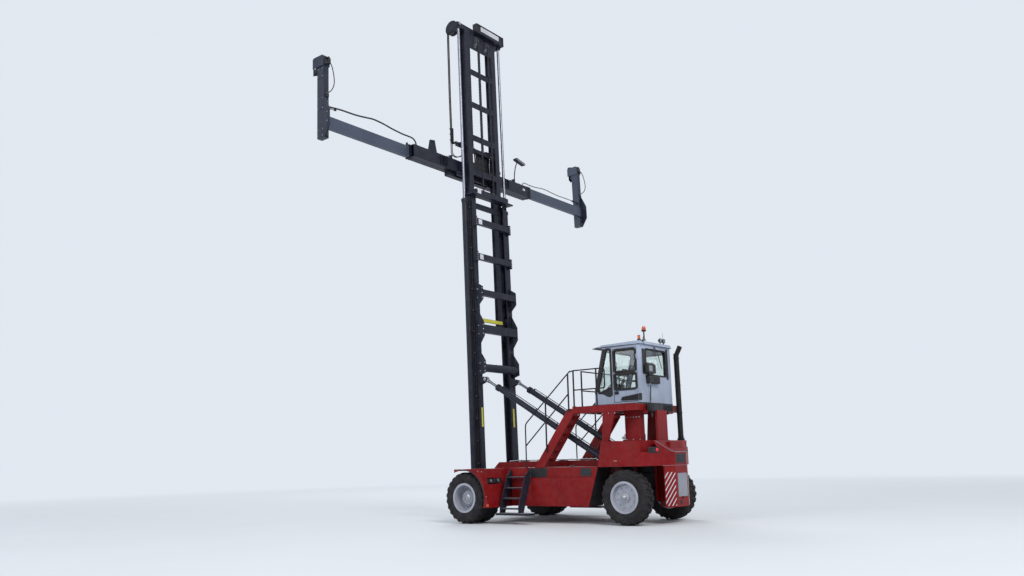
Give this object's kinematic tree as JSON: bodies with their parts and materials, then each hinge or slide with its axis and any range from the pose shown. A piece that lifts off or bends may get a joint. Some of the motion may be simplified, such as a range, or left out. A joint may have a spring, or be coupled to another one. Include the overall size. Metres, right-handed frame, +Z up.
{
  "type": "empty container handler",
  "caption": "Counterbalanced yard truck with a raised cab, a two-stage lift mast and a telescopic side spreader for long empty containers.",
  "frame": {"origin": "on the ground, midway between the rearmost and the foremost face, on the truck's middle plane", "axes": "+X forwards towards the mast and spreader, +Y to the driver's left along the spreader, +Z up"},
  "size_m": [6.8962, 12.105, 15.2238],
  "materials": {
    "red_paint": "semi-gloss, weathered",
    "charcoal_paint": "satin",
    "slate_paint": "satin",
    "black_paint": "satin",
    "white_paint": "satin",
    "window_glass": "clear, lightly tinted",
    "black_plastic": "matte",
    "lamp_plastic": "gloss",
    "tyre_rubber": "matte",
    "rim_paint": "satin",
    "steel": "satin",
    "chrome": "polished"
  },
  "bodies": {
    "chassis": {"chassis_frame": "red_paint", "drive_axle": "charcoal_paint", "steer_axle": "charcoal_paint", "engine": "steel", "fenders": "red_paint", "side_tanks": "red_paint", "rear_hull": "red_paint", "counterweight": "red_paint", "radiator_hood": "red_paint", "exhaust_stack": "black_paint", "steps": "charcoal_paint", "stairs": "red_paint", "platform": "red_paint", "cab_columns": "red_paint", "handrails": "black_paint", "cab_floor": "white_paint", "cab_front": "white_paint", "cab_rear_wall": "white_paint", "cab_left": "white_paint", "cab_right": "white_paint", "cab_roof": "white_paint", "cab_glass": "window_glass", "seat": "black_plastic", "console": "black_plastic", "roof_lamps": "lamp_plastic"},
    "cab_door": {"cab_door": "white_paint", "door_glass": "window_glass"},
    "drive_wheels_left": {"drive_tyres_left": "tyre_rubber", "drive_rims_left": "rim_paint"},
    "knuckle_left": {"knuckle_left": "steel"},
    "steer_wheel_left": {"steer_tyre_left": "tyre_rubber", "steer_rim_left": "rim_paint"},
    "tilt_barrel_left": {"tilt_barrel_left": "charcoal_paint"},
    "tilt_rod_left": {"tilt_rod_left": "chrome"},
    "arm_left": {"arm_left": "slate_paint"},
    "lock_left": {"lock_left": "steel"},
    "drive_wheels_right": {"drive_tyres_right": "tyre_rubber", "drive_rims_right": "rim_paint"},
    "knuckle_right": {"knuckle_right": "steel"},
    "steer_wheel_right": {"steer_tyre_right": "tyre_rubber", "steer_rim_right": "rim_paint"},
    "tilt_barrel_right": {"tilt_barrel_right": "charcoal_paint"},
    "tilt_rod_right": {"tilt_rod_right": "chrome"},
    "arm_right": {"arm_right": "slate_paint"},
    "lock_right": {"lock_right": "steel"},
    "outer_mast": {"outer_uprights": "charcoal_paint", "outer_crossbars": "charcoal_paint", "lift_barrels": "charcoal_paint"},
    "inner_mast": {"inner_uprights": "charcoal_paint", "inner_crossbars": "charcoal_paint", "lift_rods": "chrome", "chain_sheaves": "steel"},
    "carriage": {"carriage": "charcoal_paint"},
    "spreader": {"spreader_frame": "charcoal_paint"}
  },
  "joints": [
    {"name": "drive_left_spin", "type": "hinge", "parent": "chassis", "child": "drive_wheels_left", "pos_m": [1.85135, 1.675, 0.66], "axis": [0, 1, 0], "continuous": true},
    {"name": "drive_right_spin", "type": "hinge", "parent": "chassis", "child": "drive_wheels_right", "pos_m": [1.85135, -1.675, 0.66], "axis": [0, 1, 0], "continuous": true},
    {"name": "steer_left", "type": "hinge", "parent": "chassis", "child": "knuckle_left", "pos_m": [-2.54865, 0.86, 0.66], "axis": [0, 0, 1], "range_deg": [-70, 70]},
    {"name": "steer_left_spin", "type": "hinge", "parent": "knuckle_left", "child": "steer_wheel_left", "pos_m": [-2.54865, 1.12, 0.66], "axis": [0, 1, 0], "continuous": true},
    {"name": "steer_right", "type": "hinge", "parent": "chassis", "child": "knuckle_right", "pos_m": [-2.54865, -0.86, 0.66], "axis": [0, 0, 1], "range_deg": [-70, 70]},
    {"name": "steer_right_spin", "type": "hinge", "parent": "knuckle_right", "child": "steer_wheel_right", "pos_m": [-2.54865, -1.12, 0.66], "axis": [0, 1, 0], "continuous": true},
    {"name": "cab_door_hinge", "type": "hinge", "parent": "chassis", "child": "cab_door", "pos_m": [-2.80465, 0.806, 3.6], "axis": [0, 0, 1], "range_deg": [0, 90]},
    {"name": "mast_tilt", "type": "hinge", "parent": "chassis", "child": "outer_mast", "pos_m": [2.19635, 0, 0.76], "axis": [0, 1, 0], "range_deg": [-6.5, 3.5]},
    {"name": "inner_lift", "type": "slide", "parent": "outer_mast", "child": "inner_mast", "axis": [0.0262, 0, 0.9997], "range_m": [-4.65, 2.4]},
    {"name": "carriage_lift", "type": "slide", "parent": "inner_mast", "child": "carriage", "axis": [0.0262, 0, 0.9997], "range_m": [-4.65, 2.4]},
    {"name": "side_shift", "type": "slide", "parent": "carriage", "child": "spreader", "axis": [0, 1, 0], "range_m": [-0.35, 0.35]},
    {"name": "arm_left_slide", "type": "slide", "parent": "spreader", "child": "arm_left", "axis": [0, 1, 0], "range_m": [-3.066, 0]},
    {"name": "arm_right_slide", "type": "slide", "parent": "spreader", "child": "arm_right", "axis": [0, -1, 0], "range_m": [-3.066, 0]},
    {"name": "lock_left_turn", "type": "hinge", "parent": "arm_left", "child": "lock_left", "pos_m": [3.36583, 5.9925, 11.80317], "axis": [0.0262, 0, 0.9997], "range_deg": [0, 90]},
    {"name": "lock_right_turn", "type": "hinge", "parent": "arm_right", "child": "lock_right", "pos_m": [3.36583, -5.9925, 11.80317], "axis": [0.0262, 0, 0.9997], "range_deg": [0, 90]},
    {"name": "tilt_barrel_left_pin", "type": "hinge", "parent": "chassis", "child": "tilt_barrel_left", "pos_m": [-1.70865, 0.733, 1.56], "axis": [0, 1, 0], "range_deg": [-2.5, 2.5]},
    {"name": "tilt_rod_left_stroke", "type": "slide", "parent": "tilt_barrel_left", "child": "tilt_rod_left", "axis": [0.8553, 0, 0.5181], "range_m": [-0.36, 0.25]},
    {"name": "tilt_barrel_right_pin", "type": "hinge", "parent": "chassis", "child": "tilt_barrel_right", "pos_m": [-1.70865, -0.733, 1.56], "axis": [0, 1, 0], "range_deg": [-2.5, 2.5]},
    {"name": "tilt_rod_right_stroke", "type": "slide", "parent": "tilt_barrel_right", "child": "tilt_rod_right", "axis": [0.8553, 0, 0.5181], "range_m": [-0.36, 0.25]}
  ],
  "couplings": [
    {"joint": "steer_right", "follows": "steer_left", "ratio": 1},
    {"joint": "carriage_lift", "follows": "inner_lift", "ratio": 1},
    {"joint": "arm_right_slide", "follows": "arm_left_slide", "ratio": 1},
    {"joint": "lock_right_turn", "follows": "lock_left_turn", "ratio": 1},
    {"joint": "tilt_barrel_left_pin", "follows": "mast_tilt", "ratio": 0.33917},
    {"joint": "tilt_rod_left_stroke", "follows": "mast_tilt", "m_per_rad": 2.7323},
    {"joint": "tilt_barrel_right_pin", "follows": "mast_tilt", "ratio": 0.33917},
    {"joint": "tilt_rod_right_stroke", "follows": "mast_tilt", "m_per_rad": 2.7323}
  ]
}
